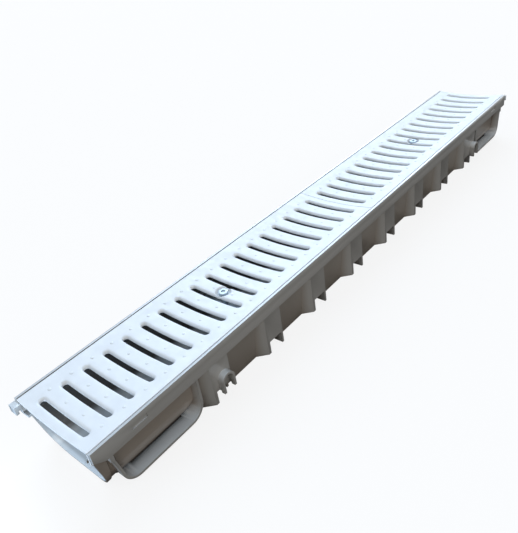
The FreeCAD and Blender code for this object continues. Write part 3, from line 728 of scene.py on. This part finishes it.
class CHANNEL_OT_stage(bpy.types.Operator):
    """Set up the floor, light and camera."""

    bl_idname = "channel.stage"
    bl_label = "Floor, light and camera"

    def execute(self, context):
        settings = context.scene.stage_settings
        self.add_floor(settings)
        self.add_lamps(context.scene, settings)
        self.add_card(context.scene, settings)
        self.add_sky(context.scene, settings)
        self.add_camera(context.scene, settings)
        return {"FINISHED"}

    def add_floor(self, settings):
        """A wide floor, level with the channel's foot."""
        shape = bmesh.new()
        bmesh.ops.create_grid(shape, x_segments=1, y_segments=1, size=25.0)
        floor = link_object("floor", mesh_from(shape, "floor"), floor_paper(settings))

    def add_lamps(self, scene, settings):
        """Three wide, soft lights: the key from behind, the fill from the right and a low one at the end."""
        for name, strength, spread, direction, colour in (
                ("key", settings.key_strength, settings.key_spread, settings.key_direction,
                 settings.zenith_colour),
                ("fill", settings.fill_strength, settings.fill_spread, settings.fill_direction,
                 settings.fill_colour),
                ("end", settings.end_strength, settings.end_spread, settings.end_direction,
                 settings.zenith_colour)):
            lamp = bpy.data.lights.new(name, "SUN")
            lamp.energy = strength
            lamp.angle = spread
            self.hang_lamp(scene, lamp, direction, colour)

    def add_card(self, scene, settings):
        """A small card, too low to reach the grates' top, that lights the near end and its inner wall."""
        card = bpy.data.lights.new("card", "AREA")
        card.energy = settings.card_power
        card.size = settings.card_size
        hung = self.hang_lamp(scene, card, settings.card_direction, settings.zenith_colour)
        hung.location = settings.card_place
        hung.visible_camera = False

    def hang_lamp(self, scene, lamp, direction, colour):
        """Put a lamp of that colour in the scene, so that its light comes from that direction."""
        lamp.color = linear(colour)[:3]
        hung = bpy.data.objects.new(lamp.name, lamp)
        hung.rotation_euler = Vector(direction).to_track_quat("Z", "Y").to_euler()
        scene.collection.objects.link(hung)
        return hung

    def add_sky(self, scene, settings):
        """Soft light from all round, cooler and stronger from above. Seen or mirrored, it is plain white."""
        world = bpy.data.worlds.new("studio")
        world.use_nodes = True
        tree = world.node_tree
        tree.nodes.clear()
        rays = add_node(tree, "ShaderNodeLightPath")
        mirrored = add_node(tree, "ShaderNodeMath", {"operation": "MAXIMUM"},
                            links={0: rays.outputs["Is Camera Ray"], 1: rays.outputs["Is Glossy Ray"]})
        seen = add_node(tree, "ShaderNodeMath", {"operation": "MAXIMUM"},
                        links={0: mirrored.outputs[0], 1: rays.outputs["Is Transmission Ray"]})
        way = add_node(tree, "ShaderNodeTexCoord").outputs["Generated"]
        height = add_node(tree, "ShaderNodeSeparateXYZ", links={"Vector": way}).outputs["Z"]
        rise = add_node(tree, "ShaderNodeMapRange",
                        inputs={"To Min": settings.horizon_strength, "To Max": settings.zenith_strength},
                        links={"Value": height})
        tint = add_node(tree, "ShaderNodeMix", {"data_type": "RGBA"},
                        {FIRST: linear(settings.horizon_colour), SECOND: linear(settings.zenith_colour)},
                        {SHARE: height})
        plain = add_node(tree, "ShaderNodeBackground",
                         links={"Color": tint.outputs[MIXED], "Strength": rise.outputs["Result"]})
        white = add_node(tree, "ShaderNodeBackground", inputs={"Color": WHITE, "Strength": 1.0})
        mixed = add_node(tree, "ShaderNodeMixShader",
                         links={0: seen.outputs[0], 1: plain.outputs[0], 2: white.outputs[0]})
        add_node(tree, "ShaderNodeOutputWorld", links={"Surface": mixed.outputs[0]})
        scene.world = world

    def add_camera(self, scene, settings):
        """The camera that sees the channel as the photograph does."""
        camera = bpy.data.cameras.new("photo camera")
        camera.sensor_width = 36.0
        camera.lens = settings.camera_lens
        camera.shift_x, camera.shift_y = settings.camera_shift
        camera.clip_start = 0.01
        camera_object = bpy.data.objects.new("photo camera", camera)
        camera_object.location = settings.camera_place
        camera_object.rotation_euler = Euler(settings.camera_turn)
        scene.collection.objects.link(camera_object)
        scene.camera = camera_object
        scene.view_settings.view_transform = "Standard"


class CHANNEL_PT_panel(bpy.types.Panel):
    """Shows a button for each finishing step, and all the settings."""

    bl_label = "Drainage Channel"
    bl_space_type = "VIEW_3D"
    bl_region_type = "UI"
    bl_category = "Drainage Channel"

    def draw(self, context):
        for operator in OPERATORS:
            self.layout.operator(operator.bl_idname)
        scene = context.scene
        for settings in (scene.channel_settings, scene.grate_settings, scene.stage_settings):
            for name in settings.bl_rna.properties.keys():
                if name not in ("rna_type", "name"):
                    self.layout.prop(settings, name)


OPERATORS = (CHANNEL_OT_body, CHANNEL_OT_grates, CHANNEL_OT_fasteners, CHANNEL_OT_stage)
CLASSES = (ChannelSettings, GrateSettings, StageSettings) + OPERATORS + (CHANNEL_PT_panel,)


def register():
    """Make Blender know the settings, operators and panel."""
    for kind in CLASSES:
        bpy.utils.register_class(kind)
    bpy.types.Scene.channel_settings = PointerProperty(type=ChannelSettings)
    bpy.types.Scene.grate_settings = PointerProperty(type=GrateSettings)
    bpy.types.Scene.stage_settings = PointerProperty(type=StageSettings)


def unregister():
    """Take them out again."""
    del bpy.types.Scene.channel_settings
    del bpy.types.Scene.grate_settings
    del bpy.types.Scene.stage_settings
    for kind in reversed(CLASSES):
        bpy.utils.unregister_class(kind)


def main():
    """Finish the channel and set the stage."""
    register()
    bpy.ops.channel.body()
    bpy.ops.channel.grates()
    bpy.ops.channel.fasteners()
    bpy.ops.channel.stage()


if __name__ == "__main__":
    main()
